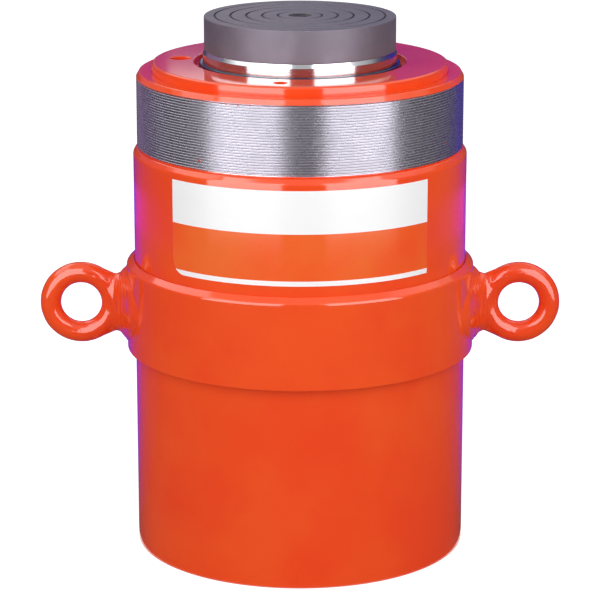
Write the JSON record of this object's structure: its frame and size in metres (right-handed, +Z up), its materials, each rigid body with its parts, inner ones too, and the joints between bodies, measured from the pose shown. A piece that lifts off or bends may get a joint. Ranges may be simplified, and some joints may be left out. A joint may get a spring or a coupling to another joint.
{
  "type": "double-acting hydraulic cylinder",
  "caption": "Heavy double-acting hydraulic cylinder with a collar thread, screwed gland, grooved saddle, lifting band with welded eyes and rear quick couplers.",
  "frame": {"origin": "centre of the base's underside, on the barrel's axis", "axes": "+Z up the barrel's axis towards the saddle; the front faces -Y, the lifting eyes lie along X and the couplers point along +Y"},
  "size_m": [0.6424, 0.4709, 0.6583],
  "materials": {
    "orange_paint": "gloss orange-red enamel with light orange peel",
    "machined_steel": "turned steel",
    "chromed_steel": "ground and chromed",
    "blackened_steel": "black oxide over turned steel",
    "plated_steel": "zinc plated",
    "seal_rubber": "matt nitrile",
    "seal_urethane": "dark blue polyurethane",
    "bearing_plastic": "fabric-filled resin",
    "backup_plastic": "off-white nylon",
    "brass": "turned brass",
    "dust_plug_plastic": "soft black plastic"
  },
  "bodies": {
    "barrel": {"barrel": "orange_paint", "gland_nut": "orange_paint", "lifting_band": "orange_paint", "right_lifting_eye": "orange_paint", "left_lifting_eye": "orange_paint", "right_eye_weld": "orange_paint", "left_eye_weld": "orange_paint", "wiper": "seal_urethane", "rod_seal": "seal_urethane", "rod_backup_ring": "backup_plastic", "rod_wear_rings": "bearing_plastic", "gland_o_ring": "seal_rubber", "gland_backup_ring": "backup_plastic", "relief_valve_seat": "brass", "relief_valve_spring": "machined_steel", "relief_valve_plug": "orange_paint", "advance_coupler_body": "plated_steel", "advance_coupler_spring": "machined_steel", "advance_coupler_spring_retainer": "plated_steel", "advance_coupler_face_seal": "seal_rubber", "retract_coupler_body": "plated_steel", "retract_coupler_spring": "machined_steel", "retract_coupler_spring_retainer": "plated_steel", "retract_coupler_face_seal": "seal_rubber"},
    "rod": {"piston_rod": "chromed_steel", "piston": "machined_steel", "piston_nut": "machined_steel", "piston_nut_screw": "blackened_steel", "piston_seal": "seal_urethane", "piston_backup_rings": "backup_plastic", "piston_wear_rings": "bearing_plastic", "piston_o_ring": "seal_rubber"},
    "saddle": {"saddle": "blackened_steel", "saddle_o_ring": "seal_rubber"},
    "relief_ball": {"relief_valve_ball": "machined_steel"},
    "advance_ball": {"advance_coupler_ball": "machined_steel"},
    "retract_ball": {"retract_coupler_ball": "machined_steel"},
    "advance_plug": {"advance_dust_plug": "dust_plug_plastic"},
    "retract_plug": {"retract_dust_plug": "dust_plug_plastic"}
  },
  "joints": [
    {"name": "rod_slide", "type": "slide", "parent": "barrel", "child": "rod", "axis": [0, 0, 1], "range_m": [0, 0.3334]},
    {"name": "saddle_spin", "type": "hinge", "parent": "rod", "child": "saddle", "pos_m": [0, 0, 0.6184], "axis": [0, 0, 1], "continuous": true},
    {"name": "relief_ball_lift", "type": "slide", "parent": "barrel", "child": "relief_ball", "axis": [0, 0, 1], "range_m": [0, 0.0015], "stiffness_N_per_m": 50, "springref_m": -0.002, "deforming": ["relief_valve_spring"]},
    {"name": "advance_ball_push", "type": "slide", "parent": "barrel", "child": "advance_ball", "axis": [0, -1, 0], "range_m": [0, 0.0045], "stiffness_N_per_m": 200, "springref_m": -0.002, "deforming": ["advance_coupler_spring"]},
    {"name": "retract_ball_push", "type": "slide", "parent": "barrel", "child": "retract_ball", "axis": [0, -1, 0], "range_m": [0, 0.0045], "stiffness_N_per_m": 200, "springref_m": -0.002, "deforming": ["retract_coupler_spring"]},
    {"name": "advance_plug_pull", "type": "slide", "parent": "barrel", "child": "advance_plug", "axis": [0, 1, 0], "range_m": [0, 0.02]},
    {"name": "retract_plug_pull", "type": "slide", "parent": "barrel", "child": "retract_plug", "axis": [0, 1, 0], "range_m": [0, 0.02]}
  ]
}
